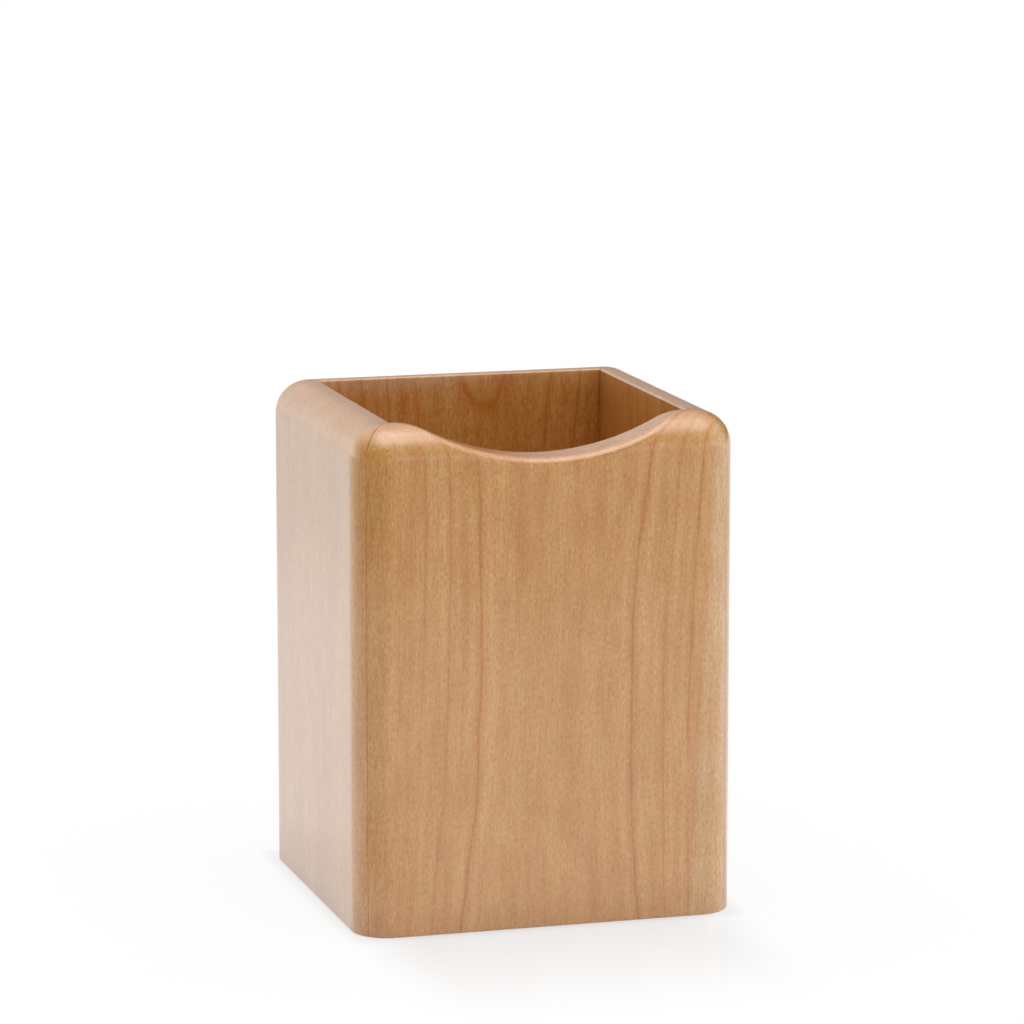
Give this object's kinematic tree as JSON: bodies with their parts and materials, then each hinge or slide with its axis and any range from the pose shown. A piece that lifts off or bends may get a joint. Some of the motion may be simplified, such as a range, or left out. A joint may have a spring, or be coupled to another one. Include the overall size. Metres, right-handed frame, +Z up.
{
  "type": "pen holder",
  "caption": "Square open-topped wooden pen holder with mitred walls, well rounded outside edges, a grooved-in bottom panel and a shallow finger scoop in the front rim.",
  "frame": {"origin": "on the ground under the middle of the holder", "axes": "+Z up; the front wall, with the finger scoop, faces -Y; +X is to the right seen from the front"},
  "size_m": [0.08, 0.076, 0.104],
  "materials": {
    "lacquered_wood": "satin clear lacquer",
    "panel_wood": "thin clear lacquer",
    "tongue_wood": "bare, sawn"
  },
  "bodies": {
    "root": {"front_board": "lacquered_wood", "right_board": "lacquered_wood", "back_board": "lacquered_wood", "left_board": "lacquered_wood", "base_board": "panel_wood", "front_left_tongue": "tongue_wood", "front_right_tongue": "tongue_wood", "back_left_tongue": "tongue_wood", "back_right_tongue": "tongue_wood"}
  },
  "joints": []
}
